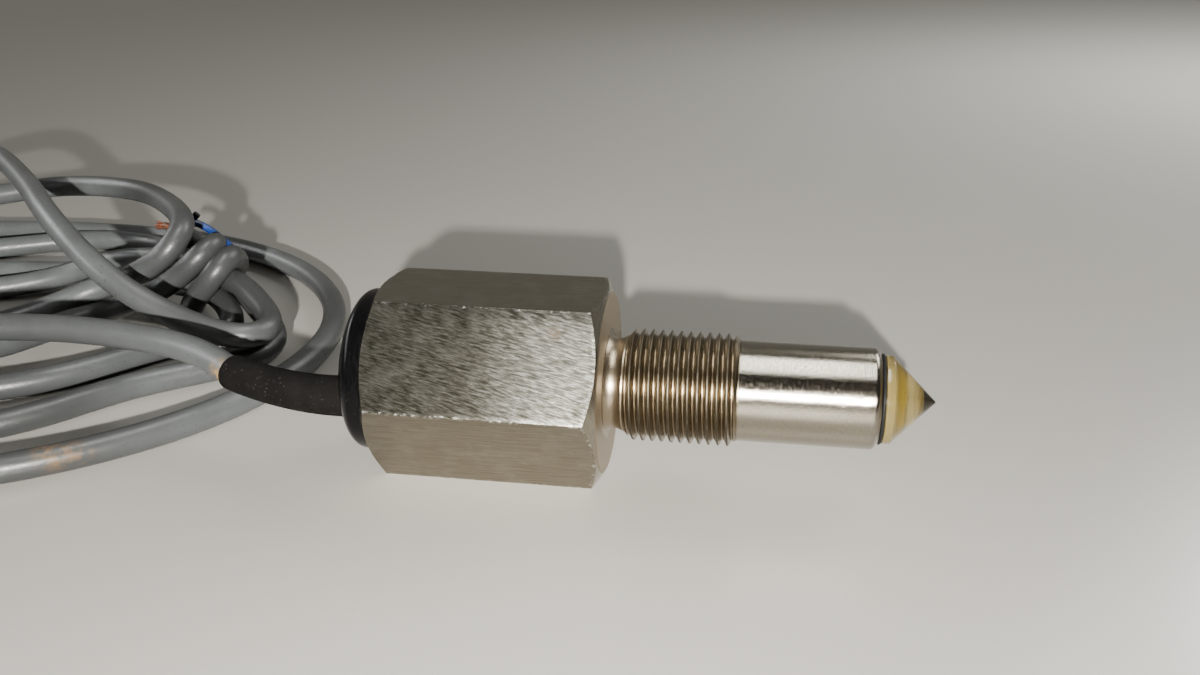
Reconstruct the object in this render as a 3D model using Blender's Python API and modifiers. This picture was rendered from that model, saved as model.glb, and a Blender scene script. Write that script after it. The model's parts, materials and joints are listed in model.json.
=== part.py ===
# Optical liquid level sensor with an M18 thread, a cone prism tip and a loose cable.
# The sensor's axis lies along +X with the prism towards +X, and it rests on one
# flat of its hexagon at z = 0. Turned pieces are drawn about their own Z axis,
# with z = 0 at the hexagon's shoulder and +Z towards the prism, and are laid down
# by the empty that carries them.

import math

import bmesh
import bpy
from mathutils import Matrix, Vector

mm = 0.001

# Clearances
fit = 0.2 * mm               # between pieces that seat on each other
slip = 0.1 * mm              # round a seal, a leg or a conductor

# Housing
hex_across_flats = 30.0 * mm
hex_length = 37.3 * mm
hex_face_inset = 0.6 * mm    # from a flat to the turned end face's edge
hex_chamfer_angle = math.radians(30)
shoulder_fillet = 0.5 * mm
neck_wall = 1.4 * mm
neck_length = 1.8 * mm
neck_ramp_length = 1.3 * mm
thread_diameter = 17.96 * mm
thread_pitch = 1.5 * mm
thread_end = 20.9 * mm       # from the shoulder to where the thread has run out
thread_depth_ratio = 0.6134  # of the pitch, for a metric outer thread
barrel_diameter = 16.0 * mm
barrel_length = 42.5 * mm    # from the shoulder to the barrel's end face
barrel_lip = 0.7 * mm
barrel_wall = 2.0 * mm
hex_wall = 2.5 * mm
hex_floor = 5.0 * mm         # steel left between the wide bore and the shoulder

# Prism tip and its seal
seal_thickness = 0.5 * mm
seal_inset = 0.85 * mm       # from the barrel's wall to the seal's rim
collar_inset = 1.05 * mm     # from the barrel's wall to the collar's
collar_length = 1.35 * mm
collar_edge = 0.15 * mm
cone_half_angle = math.radians(45)
apex_radius = 0.25 * mm
stem_length = 7.7 * mm

# Optics
optic_diameter = 2.9 * mm
optic_flange = 0.25 * mm     # how far the flange stands out
optic_flange_length = 1.0 * mm
optic_length = 5.0 * mm
optic_reach = 1.5 * mm       # how far each dome stands into the prism's stem
optic_spacing = 4.4 * mm
leg_diameter = 0.5 * mm
leg_spacing = 2.54 * mm
leg_length = 5.0 * mm
holder_length = 6.0 * mm

# Circuit board
board_thickness = 1.2 * mm
board_slot_depth = 1.7 * mm  # in the holder
plug_slot_depth = 2.2 * mm   # in the plug
board_narrow_margin = 1.8 * mm
board_wide_margin = 2.5 * mm
board_step_gap = 2.0 * mm    # between the board's shoulder and the bore's floor

# Chips on the board: length along the axis, width and height
amplifier_size = (4.9 * mm, 3.9 * mm, 1.5 * mm)
driver_size = (4.5 * mm, 2.5 * mm, 1.5 * mm)
filter_size = (6.0 * mm, 3.2 * mm, 2.6 * mm)
diode_size = (4.3 * mm, 2.6 * mm, 2.0 * mm)
small_chip_size = (2.0 * mm, 1.25 * mm, 0.5 * mm)
amplifier_setback = 8.0 * mm # from the board's shoulder to the chip's middle
diode_setback = 5.1 * mm     # from the board's shoulder
driver_setback = 9.6 * mm    # from the board's rear end
filter_setback = 5.5 * mm    # from the board's rear end
driver_side = 5.2 * mm       # off the board's middle line
diode_side = 5.5 * mm
small_chip_side = 1.5 * mm
small_chip_start = 6.0 * mm  # from the board's shoulder to the first one's middle
small_chip_pitch = 5.0 * mm
chip_stand = 0.1 * mm        # under a chip that stands on legs
chip_edge = 0.08 * mm
chip_leg_width = 0.4 * mm
chip_leg_reach = 0.6 * mm
chip_leg_height = 0.4        # of the chip's height
end_cap_length = 0.35 * mm
end_cap_stand_out = 0.06 * mm

# Rear plug and its seal
plug_rim_inset = 1.7 * mm    # from a flat to the plug's rim
plug_rim_length = 1.9 * mm
plug_dome_height = 3.9 * mm
plug_spigot_length = 6.3 * mm
plug_groove_width = 1.5 * mm
plug_groove_depth = 1.1 * mm
plug_groove_place = 3.6 * mm # from the spigot's front face to the groove's middle

# Cable and its sleeve
cable_diameter = 5.0 * mm
core_diameter = 1.4 * mm
conductor_diameter = 0.8 * mm
sleeve_diameter = 6.9 * mm   # at the plug
sleeve_end_diameter = 6.1 * mm
sleeve_wall = 0.4 * mm
sleeve_socket_depth = 7.0 * mm
exit_side = 4.2 * mm         # off the axis, towards -Y
exit_drop = 3.6 * mm         # off the axis, downwards
anchor_wall = 0.9 * mm
anchor_length = 3.0 * mm
jacket_reach = 4.4 * mm      # how far the jacket runs on in front of the plug
core_ring_radius = 1.05 * mm # of the cores' middles where they leave the jacket
core_pad_spacing = 2.6 * mm
core_straight = 1.5 * mm     # the cores' way from the jacket to their pads on the board
core_bend = 4.0 * mm
core_landing = 6.5 * mm
core_length = 9.0 * mm
conductor_length = 1.6 * mm  # stripped end on the pad

# Coil that the loose cable makes, as a plain oval ring on the table
coil_outer_radius = 83.0 * mm
coil_inner_radius = 22.0 * mm
coil_ovality = 0.865         # its short way to its long way across
coil_turn = math.radians(-11.5)
coil_height = 21.0 * mm
coil_edge = 9.0 * mm

# Facets of the housing's turned outsides, the same on all so that they line up
round_steps = 40

# Worked out from the sizes above
thread_radius = thread_diameter / 2
thread_root_radius = thread_radius - thread_depth_ratio * thread_pitch
barrel_radius = barrel_diameter / 2
front_bore_radius = barrel_radius - barrel_wall
rear_bore_radius = hex_across_flats / 2 - hex_wall
neck_radius = front_bore_radius + neck_wall
hex_face_radius = hex_across_flats / 2 - hex_face_inset
axis_height = hex_across_flats / 2

seal_base = barrel_length + slip
collar_base = seal_base + seal_thickness + slip
collar_radius = barrel_radius - collar_inset
collar_top = collar_base + collar_length
apex_top = collar_top + (collar_radius - collar_edge) / math.tan(cone_half_angle)
stem_base = collar_base - stem_length
stem_radius = front_bore_radius - fit

holder_top = stem_base - fit
holder_base = holder_top - holder_length
optic_radius = optic_diameter / 2
optic_top = stem_base + optic_reach
optic_base = optic_top - optic_length
flange_radius = optic_radius + optic_flange
flange_seat = optic_base + optic_flange_length + fit
leg_radius = leg_diameter / 2

board_top = -(leg_radius + slip)
board_bottom = board_top - board_thickness
board_front = holder_base + board_slot_depth - fit
board_step = -hex_floor - board_step_gap
narrow_half = front_bore_radius - board_narrow_margin
wide_half = rear_bore_radius - board_wide_margin

plug_face = -hex_length - fit
spigot_front = plug_face + plug_spigot_length
board_rear = spigot_front - plug_slot_depth + fit
plug_rim_radius = hex_across_flats / 2 - plug_rim_inset
spigot_radius = rear_bore_radius - fit
groove_middle = spigot_front - plug_groove_place
plug_back = plug_face - plug_rim_length - plug_dome_height

cable_radius = cable_diameter / 2
sleeve_radius = sleeve_diameter / 2
sleeve_start = plug_back + sleeve_socket_depth
jacket_front = spigot_front + jacket_reach

# The origin is under the middle of the sensor's length, on the resting flat
shoulder_x = -(apex_top + plug_back) / 2

# Route of the cable as offsets from where it leaves the plug
sleeve_route = [
    (0.0, 0.0, 0.0),
    (-5.0 * mm, 0.1 * mm, 0.0),
    (-11.0 * mm, 1.2 * mm, 0.1 * mm),
    (-17.0 * mm, 3.1 * mm, 0.3 * mm),
    (-23.0 * mm, 5.8 * mm, 0.6 * mm),
]
lead_route = [
    (-26.2 * mm, 7.3 * mm, 0.9 * mm),
]
coil_centre = (-101.7 * mm, 41.2 * mm)


def clear_scene():
    for thing in list(bpy.data.objects):
        bpy.data.objects.remove(thing, do_unlink=True)


def make_collection(name):
    group = bpy.data.collections.new(name)
    bpy.context.scene.collection.children.link(group)
    return group


clear_scene()
part_group = make_collection("level_sensor")
cutter_group = make_collection("cutters")

axis_empty = bpy.data.objects.new("sensor_axis", None)
part_group.objects.link(axis_empty)
axis_empty.location = (shoulder_x, 0, axis_height)
axis_empty.rotation_euler = (0, math.pi / 2, 0)
to_world = Matrix.Translation(axis_empty.location) @ Matrix.Rotation(math.pi / 2, 4, "Y")


# Materials

def make_material(name, colour, roughness, metallic=0.0, transmission=0.0):
    material = bpy.data.materials.new(name)
    material.use_nodes = True
    shader = material.node_tree.nodes["Principled BSDF"]
    shader.inputs["Base Color"].default_value = (*colour, 1)
    shader.inputs["Roughness"].default_value = roughness
    shader.inputs["Metallic"].default_value = metallic
    shader.inputs["Transmission Weight"].default_value = transmission
    material.diffuse_color = (*colour, 1)
    return material


stainless_steel = make_material("stainless_steel", (0.56, 0.54, 0.49), 0.32, metallic=1.0)
amber_plastic = make_material("amber_plastic", (0.80, 0.62, 0.20), 0.08, transmission=0.8)
black_rubber = make_material("black_rubber", (0.02, 0.02, 0.02), 0.6)
black_plastic = make_material("black_plastic", (0.015, 0.015, 0.02), 0.25)
sleeve_rubber = make_material("sleeve_rubber", (0.045, 0.04, 0.038), 0.65)
board_laminate = make_material("board_laminate", (0.03, 0.18, 0.07), 0.45)
chip_plastic = make_material("chip_plastic", (0.03, 0.03, 0.03), 0.5)
smoked_epoxy = make_material("smoked_epoxy", (0.06, 0.04, 0.07), 0.1, transmission=0.3)
clear_epoxy = make_material("clear_epoxy", (0.65, 0.72, 0.85), 0.08, transmission=0.7)
chip_ceramic = make_material("chip_ceramic", (0.55, 0.46, 0.36), 0.5)
tantalum_yellow = make_material("tantalum_yellow", (0.75, 0.50, 0.08), 0.4)
crimp_brass = make_material("crimp_brass", (0.70, 0.52, 0.25), 0.3, metallic=1.0)
cable_grey = make_material("cable_grey", (0.28, 0.30, 0.31), 0.45)
core_insulation = {
    "brown": make_material("core_brown", (0.16, 0.06, 0.03), 0.4),
    "blue": make_material("core_blue", (0.02, 0.08, 0.45), 0.4),
    "black": make_material("core_black", (0.02, 0.02, 0.02), 0.4),
}
bare_copper = make_material("bare_copper", (0.72, 0.36, 0.20), 0.3, metallic=1.0)


# Helpers

def link_part(thing, material, parent=axis_empty):
    part_group.objects.link(thing)
    thing.parent = parent
    thing.data.materials.clear()
    thing.data.materials.append(material)
    return thing


def link_cutter(thing, parent=axis_empty):
    cutter_group.objects.link(thing)
    thing.parent = parent
    thing.hide_render = True
    thing.display_type = "WIRE"
    return thing


def mesh_object(name, mesh):
    return bpy.data.objects.new(name, mesh)


def turned(name, profile, closed=False, steps=48, at=(0, 0, 0)):
    """A body of revolution about Z. The profile holds (radius, height) pairs that run down
    the outer side from top to bottom, and a closed one comes back up the inner side."""
    mesh = bpy.data.meshes.new(name)
    points = [(radius, 0, height) for radius, height in profile]
    edges = [(i, i + 1) for i in range(len(points) - 1)]
    if closed:
        edges.append((len(points) - 1, 0))
    mesh.from_pydata(points, edges, [])
    thing = mesh_object(name, mesh)
    thing.location = at
    screw = thing.modifiers.new("turn", "SCREW")
    screw.axis = "Z"
    screw.angle = 2 * math.pi
    screw.steps = steps
    screw.render_steps = steps
    screw.use_merge_vertices = True
    screw.merge_threshold = 0.00001
    screw.use_smooth_shade = True
    return thing


def arc(centre, radius, start, end, count):
    """Points (radius, height) of an arc in a profile, from one angle to another in degrees."""
    points = []
    for i in range(count + 1):
        angle = math.radians(start + (end - start) * i / count)
        points.append((centre[0] + radius * math.cos(angle), centre[1] + radius * math.sin(angle)))
    return points


def block(name, low, high, edge=0.0):
    """A box between two corners, with its edges rounded where edge is given."""
    mesh = bpy.data.meshes.new(name)
    form = bmesh.new()
    bmesh.ops.create_cube(form, size=1)
    size = [b - a for a, b in zip(low, high)]
    middle = [(a + b) / 2 for a, b in zip(low, high)]
    bmesh.ops.scale(form, vec=size, verts=form.verts)
    bmesh.ops.translate(form, vec=middle, verts=form.verts)
    form.to_mesh(mesh)
    form.free()
    thing = mesh_object(name, mesh)
    if edge:
        bevel = thing.modifiers.new("edges", "BEVEL")
        bevel.width = edge
        bevel.segments = 2
        bevel.limit_method = "ANGLE"
    return thing


def rod(name, start, end, radius, sides=12):
    """A round rod between two points."""
    start = Vector(start)
    end = Vector(end)
    mesh = bpy.data.meshes.new(name)
    form = bmesh.new()
    bmesh.ops.create_cone(form, cap_ends=True, segments=sides, radius1=radius, radius2=radius,
                          depth=(end - start).length)
    turn = Vector((0, 0, 1)).rotation_difference(end - start).to_matrix().to_4x4()
    bmesh.ops.transform(form, matrix=Matrix.Translation((start + end) / 2) @ turn, verts=form.verts)
    form.to_mesh(mesh)
    form.free()
    return mesh_object(name, mesh)


def boolean(thing, tool, operation="DIFFERENCE"):
    cut = thing.modifiers.new(operation.lower(), "BOOLEAN")
    cut.operation = operation
    cut.solver = "EXACT"
    cut.object = tool
    return cut


def smooth_curve(points, spacing):
    """Points on a smooth curve through the route's own points, about one spacing apart."""
    points = [Vector(point) for point in points]
    ends = [2 * points[0] - points[1]] + points + [2 * points[-1] - points[-2]]
    route = []
    for i in range(1, len(ends) - 2):
        a, b, c, d = ends[i - 1:i + 3]
        count = max(1, round((c - b).length / spacing))
        for k in range(count):
            t = k / count
            route.append(0.5 * (2 * b + (c - a) * t + (2 * a - 5 * b + 4 * c - d) * t ** 2
                                + (3 * b - a - 3 * c + d) * t ** 3))
    route.append(points[-1])
    return route


def tube_curve(name, points, radius, resolution=2, capped=True, end_ratio=1.0):
    """A round tube along points, which may taper to end_ratio of its radius."""
    curve = bpy.data.curves.new(name, "CURVE")
    curve.dimensions = "3D"
    curve.bevel_depth = radius
    curve.bevel_resolution = resolution
    curve.use_fill_caps = capped
    spline = curve.splines.new("POLY")
    spline.points.add(len(points) - 1)
    for i, point in enumerate(points):
        spline.points[i].co = (*point, 1)
        spline.points[i].radius = 1 + (end_ratio - 1) * i / (len(points) - 1)
    return bpy.data.objects.new(name, curve)


def curve_to_mesh(thing):
    """Turns a curve object into a welded mesh object of the same name."""
    bpy.context.scene.collection.objects.link(thing)
    bpy.context.view_layer.update()
    name = thing.name
    view = bpy.context.evaluated_depsgraph_get()
    mesh = bpy.data.meshes.new_from_object(thing.evaluated_get(view))
    form = bmesh.new()
    form.from_mesh(mesh)
    bmesh.ops.remove_doubles(form, verts=form.verts, dist=0.000001)
    form.to_mesh(mesh)
    form.free()
    place = thing.matrix_world.copy()
    bpy.data.objects.remove(thing, do_unlink=True)
    solid = mesh_object(name, mesh)
    solid.matrix_world = place
    return solid


# Housing

def thread_rod(name):
    """A threaded rod with one helical ridge, longer than the thread at both ends."""
    turns = math.ceil(thread_end / thread_pitch) + 2
    flank = (thread_radius - thread_root_radius) * math.tan(math.radians(30))
    crest_flat = thread_pitch / 8
    root_flat = thread_pitch - crest_flat - 2 * flank
    top = turns * thread_pitch - thread_pitch
    profile = [(0, 0, top)]
    for turn in range(turns):
        height = top - turn * thread_pitch
        profile.append((thread_root_radius, 0, height))
        profile.append((thread_root_radius, 0, height - root_flat))
        profile.append((thread_radius, 0, height - root_flat - flank))
        profile.append((thread_radius, 0, height - root_flat - flank - crest_flat))
    bottom = top - turns * thread_pitch
    profile.append((thread_root_radius, 0, bottom))
    profile.append((0, 0, bottom))
    mesh = bpy.data.meshes.new(name)
    mesh.from_pydata(profile, [(i, i + 1) for i in range(len(profile) - 1)], [])
    thing = mesh_object(name, mesh)
    screw = thing.modifiers.new("helix", "SCREW")
    screw.axis = "Z"
    screw.angle = 2 * math.pi
    screw.screw_offset = thread_pitch
    screw.steps = round_steps
    screw.render_steps = round_steps
    screw.use_merge_vertices = False
    thing = curve_to_mesh(thing)
    form = bmesh.new()
    form.from_mesh(thing.data)
    rim = [edge for edge in form.edges if edge.is_boundary]
    bmesh.ops.holes_fill(form, edges=rim, sides=0)
    bmesh.ops.recalc_face_normals(form, faces=form.faces)
    form.to_mesh(thing.data)
    form.free()
    return thing


def thread_envelope(name):
    """The turned outline that the thread starts and runs out in. Its own number of steps
    keeps its edges off those of the helix."""
    inner = thread_root_radius - fit
    outer = thread_radius + fit
    run_out = thread_end - (outer - inner)
    return turned(name, [
        (0, thread_end + fit),
        (barrel_radius - fit, thread_end + fit),
        (inner, thread_end),
        (outer, run_out),
        (outer, neck_length + neck_ramp_length),
        (neck_radius, neck_length),
        (0, neck_length),
    ], steps=round_steps - 4)


def make_housing():
    overrun = 1 * mm
    mesh = bpy.data.meshes.new("housing")
    form = bmesh.new()
    corner = hex_across_flats / 2 / math.cos(math.radians(30))
    bmesh.ops.create_cone(form, cap_ends=True, segments=6, radius1=corner, radius2=corner,
                          depth=hex_length + 2 * overrun)
    bmesh.ops.translate(form, vec=(0, 0, -hex_length / 2), verts=form.verts)
    form.to_mesh(mesh)
    form.free()
    housing = link_part(mesh_object("housing", mesh), stainless_steel)

    # The lathe's cut at both ends of the hexagon
    outer = corner + overrun
    drop = (outer - hex_face_radius) * math.tan(hex_chamfer_angle)
    ends = link_cutter(turned("hexagon_ends", [
        (0, 0),
        (hex_face_radius, 0),
        (outer, -drop),
        (outer, -hex_length + drop),
        (hex_face_radius, -hex_length),
        (0, -hex_length),
    ], steps=round_steps))
    boolean(housing, ends, "INTERSECT")

    # Neck and barrel
    core = link_cutter(turned("neck_and_barrel", [
        (0, barrel_length),
        (barrel_radius - barrel_lip, barrel_length),
        (barrel_radius - barrel_lip / 4, barrel_length - barrel_lip / 2),
        (barrel_radius, barrel_length - 1.5 * barrel_lip),
        (barrel_radius, thread_end - 2 * fit),
        (neck_radius, thread_end - 4 * fit),
        (neck_radius, shoulder_fillet),
        (neck_radius + 0.3 * shoulder_fillet, 0.3 * shoulder_fillet),
        (neck_radius + shoulder_fillet, 0),
        (neck_radius + shoulder_fillet, -hex_floor / 2),
        (0, -hex_floor / 2),
    ], steps=round_steps))
    boolean(housing, core, "UNION")

    # Thread
    ridge = link_cutter(thread_rod("thread_ridge"))
    boolean(ridge, link_cutter(thread_envelope("thread_outline")), "INTERSECT")
    boolean(housing, ridge, "UNION")

    # Stepped bore, open at both ends
    bore = link_cutter(turned("bore", [
        (0, barrel_length + overrun),
        (front_bore_radius, barrel_length + overrun),
        (front_bore_radius, -hex_floor),
        (rear_bore_radius, -hex_floor),
        (rear_bore_radius, -hex_length - overrun),
        (0, -hex_length - overrun),
    ], steps=round_steps))
    boolean(housing, bore)
    return housing


# Prism tip, its seal and the optics

def optic_places():
    return {"infrared_emitter": optic_spacing / 2, "phototransistor": -optic_spacing / 2}


def make_prism_tip():
    apex = arc((0, apex_top - apex_radius / math.sin(cone_half_angle)), apex_radius,
               90, 90 - math.degrees(math.pi / 2 - cone_half_angle), 3)
    tip = turned("prism_tip", apex + [
        (collar_radius - collar_edge, collar_top),
        (collar_radius, collar_top - collar_edge),
        (collar_radius, collar_base),
        (stem_radius, collar_base),
        (stem_radius, stem_base),
        (0, stem_base),
    ], steps=round_steps)
    link_part(tip, amber_plastic)
    for name, side in optic_places().items():
        pocket_radius = optic_radius + fit
        pocket_top = optic_top + fit
        dome = arc((0, pocket_top - pocket_radius), pocket_radius, 90, 0, 5)
        pocket = link_cutter(turned(name + "_pocket", dome + [
            (pocket_radius, stem_base - fit),
            (0, stem_base - fit),
        ], steps=24, at=(0, side, 0)))
        boolean(tip, pocket)


def make_tip_seal():
    outer = barrel_radius - seal_inset
    inner = stem_radius + slip
    top = seal_base + seal_thickness
    round_off = seal_thickness / 4
    link_part(turned("tip_seal", [
        (inner, top),
        (outer - round_off, top),
        (outer, top - round_off),
        (outer, seal_base + round_off),
        (outer - round_off, seal_base),
        (inner, seal_base),
    ], closed=True, steps=round_steps), black_rubber)


def make_optics_holder():
    radius = front_bore_radius - fit
    edge = 2 * fit
    holder = turned("optics_holder", [
        (0, holder_top),
        (radius - edge, holder_top),
        (radius, holder_top - edge),
        (radius, holder_base),
        (0, holder_base),
    ])
    link_part(holder, black_plastic)
    for name, side in optic_places().items():
        hole = link_cutter(turned(name + "_hole", [
            (0, holder_top + fit),
            (optic_radius + slip, holder_top + fit),
            (optic_radius + slip, flange_seat),
            (flange_radius + slip, flange_seat),
            (flange_radius + slip, holder_base - fit),
            (0, holder_base - fit),
        ], steps=24, at=(0, side, 0)))
        boolean(holder, hole)
    slot = link_cutter(block(
        "holder_slot",
        (board_bottom - fit, -narrow_half - fit, holder_base - fit),
        (leg_radius + slip, narrow_half + fit, board_front + fit)))
    boolean(holder, slot)


def make_optic(name, side, material):
    """An infrared diode or phototransistor: a domed body with a flange and two legs."""
    dome = arc((0, optic_top - optic_radius), optic_radius, 90, 0, 6)
    flange_top = optic_base + optic_flange_length
    optic = turned(name, dome + [
        (optic_radius, flange_top),
        (flange_radius, flange_top),
        (flange_radius, optic_base),
        (0, optic_base),
    ], steps=24, at=(0, side, 0))
    link_part(optic, material)
    for end in (-1, 1):
        place = side + end * leg_spacing / 2
        leg = rod(name + "_leg", (0, place, optic_base + optic_flange_length / 2),
                  (0, place, optic_base - leg_length), leg_radius, sides=8)
        boolean(optic, link_cutter(leg), "UNION")


# Circuit board and what it carries

def make_circuit_board():
    outline = [
        (wide_half, board_rear),
        (wide_half, board_step),
        (narrow_half, board_step),
        (narrow_half, board_front),
        (-narrow_half, board_front),
        (-narrow_half, board_step),
        (-wide_half, board_step),
        (-wide_half, board_rear),
    ]
    curve = bpy.data.curves.new("circuit_board", "CURVE")
    curve.dimensions = "2D"
    curve.fill_mode = "BOTH"
    curve.extrude = board_thickness / 2
    spline = curve.splines.new("POLY")
    spline.points.add(len(outline) - 1)
    for point, (across, along) in zip(spline.points, outline):
        point.co = (across, along, 0, 1)
    spline.use_cyclic_u = True
    board = curve_to_mesh(bpy.data.objects.new("circuit_board", curve))
    # The outline's x is the board's width (+Y) and its y is the sensor's axis (+Z)
    lay = Matrix(((0, 0, 1, (board_top + board_bottom) / 2), (1, 0, 0, 0), (0, 1, 0, 0), (0, 0, 0, 1)))
    board.data.transform(lay)
    link_part(board, board_laminate)


def chip(name, along, across, size, leg_rows):
    """A chip on legs on the board's upper side, with the number of legs on its two long sides."""
    length, width, height = size
    floor = board_bottom - slip
    low = floor - chip_stand
    high = low - height
    body = block(name, (high, across - width / 2, along - length / 2),
                 (low, across + width / 2, along + length / 2), edge=chip_edge)
    link_part(body, chip_plastic)
    leg_top = low - height * chip_leg_height
    for side, count in zip((-1, 1), leg_rows):
        for i in range(count):
            place = along + (i - (count - 1) / 2) * length / count
            inner = across + side * (width / 2 - chip_leg_width)
            outer = across + side * (width / 2 + chip_leg_reach)
            leg = link_cutter(block(
                name + "_leg",
                (leg_top, min(inner, outer), place - chip_leg_width / 2),
                (floor, max(inner, outer), place + chip_leg_width / 2)))
            boolean(body, leg, "UNION")


def end_capped(name, material, along, across, size):
    """A chip resistor, capacitor or diode, whose two metal ends stand out from its body."""
    length, width, height = size
    floor = board_bottom - slip
    low = floor - end_cap_stand_out
    high = low - height
    body = block(name, (high, across - width / 2, along - length / 2),
                 (low, across + width / 2, along + length / 2))
    link_part(body, material)
    for end in (-1, 1):
        inner = along + end * (length / 2 - end_cap_length)
        outer = along + end * (length / 2 + end_cap_stand_out)
        cap = link_cutter(block(
            name + "_end",
            (high - end_cap_stand_out, across - width / 2 - end_cap_stand_out, min(inner, outer)),
            (floor, across + width / 2 + end_cap_stand_out, max(inner, outer))))
        boolean(body, cap, "UNION")


def make_components():
    chip("amplifier_chip", board_step - amplifier_setback, 0, amplifier_size, (4, 4))
    chip("voltage_regulator", board_rear + driver_setback, driver_side, driver_size, (1, 3))
    chip("output_transistor", board_rear + driver_setback, -driver_side, driver_size, (3, 1))
    end_capped("filter_capacitor", tantalum_yellow, board_rear + filter_setback, 0, filter_size)
    end_capped("protection_diode", chip_plastic, board_step - diode_setback, diode_side, diode_size)
    first = board_step + small_chip_start
    for i in range(4):
        end_capped("resistor_%d" % (i + 1), chip_plastic, first + small_chip_pitch * i,
                   small_chip_side, small_chip_size)
    for i in range(3):
        end_capped("capacitor_%d" % (i + 1), chip_ceramic, first + small_chip_pitch * (i + 0.5),
                   -small_chip_side, small_chip_size)


# Rear plug, its seal and the cable's way in

def make_rear_plug():
    dome = []
    count = 6
    for i in range(count + 1):
        angle = math.pi / 2 * i / count
        dome.append((plug_rim_radius * math.cos(angle), plug_face - plug_rim_length
                     - plug_dome_height * math.sin(angle) ** 0.9))
    groove_half = plug_groove_width / 2
    plug = turned("rear_plug", [
        (0, spigot_front),
        (spigot_radius - fit, spigot_front),
        (spigot_radius, spigot_front - fit),
        (spigot_radius, groove_middle + groove_half),
        (spigot_radius - plug_groove_depth, groove_middle + groove_half),
        (spigot_radius - plug_groove_depth, groove_middle - groove_half),
        (spigot_radius, groove_middle - groove_half),
        (spigot_radius, plug_face),
        (plug_rim_radius, plug_face),
    ] + dome[:-1] + [(0, plug_back)], steps=round_steps)
    link_part(plug, black_plastic)
    hole = link_cutter(turned("cable_hole", [
        (0, spigot_front + fit),
        (cable_radius + slip, spigot_front + fit),
        (cable_radius + slip, sleeve_start + fit),
        (sleeve_radius + slip, sleeve_start + fit),
        (sleeve_radius + slip, plug_back - sleeve_radius),
        (0, plug_back - sleeve_radius),
    ], steps=32, at=(exit_drop, -exit_side, 0)))
    boolean(plug, hole)
    slot = link_cutter(block(
        "plug_slot",
        (board_bottom - fit, -wide_half - fit, board_rear - fit),
        (board_top + fit, wide_half + fit, spigot_front + fit)))
    boolean(plug, slot)


def make_plug_seal():
    groove_floor = spigot_radius - plug_groove_depth
    thickness = (rear_bore_radius - groove_floor - 2 * slip) / 2
    ring = arc((groove_floor + slip + thickness, groove_middle), thickness, 90, -270, 8)[:-1]
    link_part(turned("plug_seal", ring, closed=True, steps=32), black_rubber)


def exit_point():
    """Where the cable's centre line leaves the plug, in world coordinates."""
    return to_world @ Vector((exit_drop, -exit_side, plug_back))


def route_points(offsets):
    start = exit_point()
    return [start + Vector(offset) for offset in offsets]


def make_cable_sleeve():
    inner_end = to_world @ Vector((exit_drop, -exit_side, sleeve_start))
    points = smooth_curve([inner_end] + route_points(sleeve_route), 3 * mm)
    sleeve = curve_to_mesh(tube_curve("cable_sleeve", points, sleeve_radius, resolution=4, capped=False,
                                      end_ratio=sleeve_end_diameter / sleeve_diameter))
    wall = sleeve.modifiers.new("wall", "SOLIDIFY")
    wall.thickness = sleeve_wall
    wall.offset = -1
    link_part(sleeve, sleeve_rubber, parent=None)


def make_cable_lead():
    inner_end = to_world @ Vector((exit_drop, -exit_side, jacket_front))
    points = smooth_curve([inner_end] + route_points(sleeve_route + lead_route), 4 * mm)
    link_part(tube_curve("cable_lead", points, cable_radius, resolution=3), cable_grey, parent=None)


def make_cable_anchor():
    inner = cable_radius + slip
    base = spigot_front + fit
    link_part(turned("cable_anchor", [
        (inner, base + anchor_length),
        (inner + anchor_wall, base + anchor_length),
        (inner + anchor_wall, base),
        (inner, base),
    ], closed=True, steps=24, at=(exit_drop, -exit_side, 0)), crimp_brass)


def make_cores():
    """The three cores between the jacket's end and the board, side by side on it, and
    the stripped end of each core's conductor on its pad."""
    radius = core_diameter / 2
    height = board_top + radius + slip
    for i, colour in enumerate(("brown", "blue", "black")):
        angle = 2 * math.pi * i / 3 + math.pi / 2
        start = Vector((exit_drop + core_ring_radius * math.cos(angle),
                        -exit_side + core_ring_radius * math.sin(angle), jacket_front + slip))
        side = -exit_side + (1 - i) * core_pad_spacing
        points = [
            start,
            start + Vector((0, 0, core_straight)),
            Vector(((start.x + height) / 2, (start.y + side) / 2, start.z + core_bend)),
            Vector((height, side, start.z + core_landing)),
            Vector((height, side, start.z + core_length)),
        ]
        core = tube_curve("core_" + colour, smooth_curve(points, core_diameter), radius)
        link_part(core, core_insulation[colour])
        end = start.z + core_length + slip
        link_part(rod("conductor_" + colour, (height, side, end), (height, side, end + conductor_length),
                      conductor_diameter / 2), bare_copper)


# Loose cable

def coil_place():
    start = exit_point()
    return Vector((start.x + coil_centre[0], start.y + coil_centre[1], 0))


def make_cable_coil():
    """The outer shape of the loose cable's turns, as a plain oval ring that rests on the table."""
    corners = [
        (coil_inner_radius + coil_edge, coil_height - coil_edge, 180, 90),
        (coil_outer_radius - coil_edge, coil_height - coil_edge, 90, 0),
        (coil_outer_radius - coil_edge, coil_edge, 0, -90),
        (coil_inner_radius + coil_edge, coil_edge, 270, 180),
    ]
    ring = []
    for radius, height, start, end in corners:
        ring += arc((radius, height), coil_edge, start, end, 3)
    coil = turned("cable_coil", ring, closed=True, steps=round_steps, at=coil_place())
    coil.rotation_euler.z = coil_turn
    coil.scale.y = coil_ovality
    link_part(coil, cable_grey, parent=None)


make_housing()
make_prism_tip()
make_tip_seal()
make_optics_holder()
make_optic("infrared_emitter", optic_places()["infrared_emitter"], clear_epoxy)
make_optic("phototransistor", optic_places()["phototransistor"], smoked_epoxy)
make_circuit_board()
make_components()
make_rear_plug()
make_plug_seal()
make_cable_sleeve()
make_cable_lead()
make_cable_anchor()
make_cores()
make_cable_coil()
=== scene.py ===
import json
import math

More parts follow.
